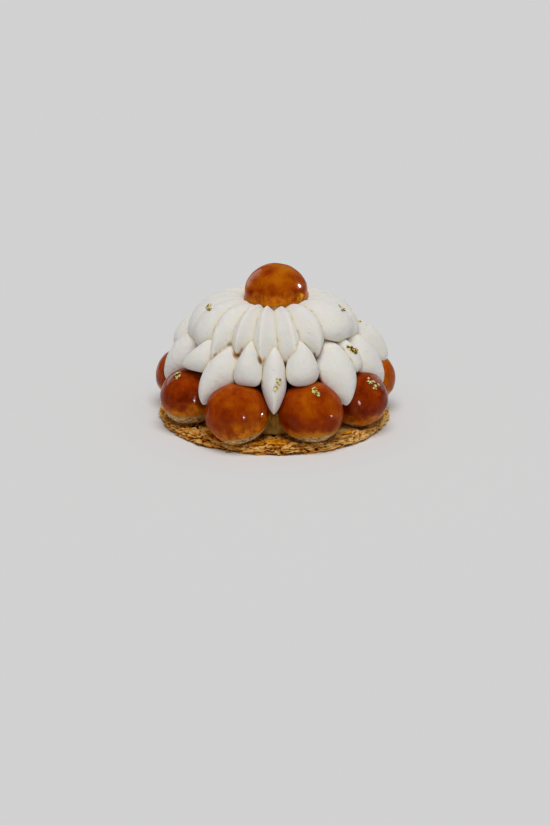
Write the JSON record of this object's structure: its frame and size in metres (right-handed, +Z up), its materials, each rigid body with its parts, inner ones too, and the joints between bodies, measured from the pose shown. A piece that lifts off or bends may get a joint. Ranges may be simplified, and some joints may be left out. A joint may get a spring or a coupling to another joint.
{
  "type": "saint-honore cake",
  "caption": "Round cake: a ring of caramel-dipped choux on a flaky base, cream piped over it in two tiers of fin-shaped petals, and one chou on top.",
  "frame": {"origin": "middle of the base's flat underside", "axes": "+Z up, -Y towards the side that faces the camera in the picture, +X to the right there"},
  "size_m": [0.1785, 0.1778, 0.1159],
  "materials": {
    "pastry": "baked flaky pastry, rough and layered, golden brown with darker edges",
    "caramel": "hard amber caramel glaze over a baked puff, glossy and slightly mottled",
    "cream": "whipped vanilla cream, soft satin white with tiny dark specks",
    "gold_leaf": "crumpled flecks of gold leaf"
  },
  "bodies": {
    "root": {"chou_1": "caramel", "chou_2": "caramel", "chou_3": "caramel", "chou_4": "caramel", "chou_5": "caramel", "chou_6": "caramel", "chou_7": "caramel", "chou_8": "caramel", "chou_9": "caramel", "chou_crown": "caramel", "cream_heart": "cream", "pastry_base": "pastry", "petal_high_1": "cream", "petal_high_2": "cream", "petal_high_3": "cream", "petal_high_4": "cream", "petal_high_5": "cream", "petal_high_6": "cream", "petal_high_7": "cream", "petal_high_8": "cream", "petal_high_9": "cream", "petal_high_10": "cream", "petal_high_11": "cream", "petal_high_12": "cream", "petal_high_13": "cream", "petal_high_14": "cream", "petal_high_15": "cream", "petal_high_16": "cream", "petal_high_17": "cream", "petal_high_18": "cream", "petal_low_1": "cream", "petal_low_2": "cream", "petal_low_3": "cream", "petal_low_4": "cream", "petal_low_5": "cream", "petal_low_6": "cream", "petal_low_7": "cream", "petal_low_8": "cream", "petal_low_9": "cream", "petal_low_10": "cream", "petal_low_11": "cream", "petal_low_12": "cream", "petal_low_13": "cream", "petal_low_14": "cream", "petal_low_15": "cream", "petal_low_16": "cream", "petal_low_17": "cream", "petal_low_18": "cream"}
  },
  "joints": []
}
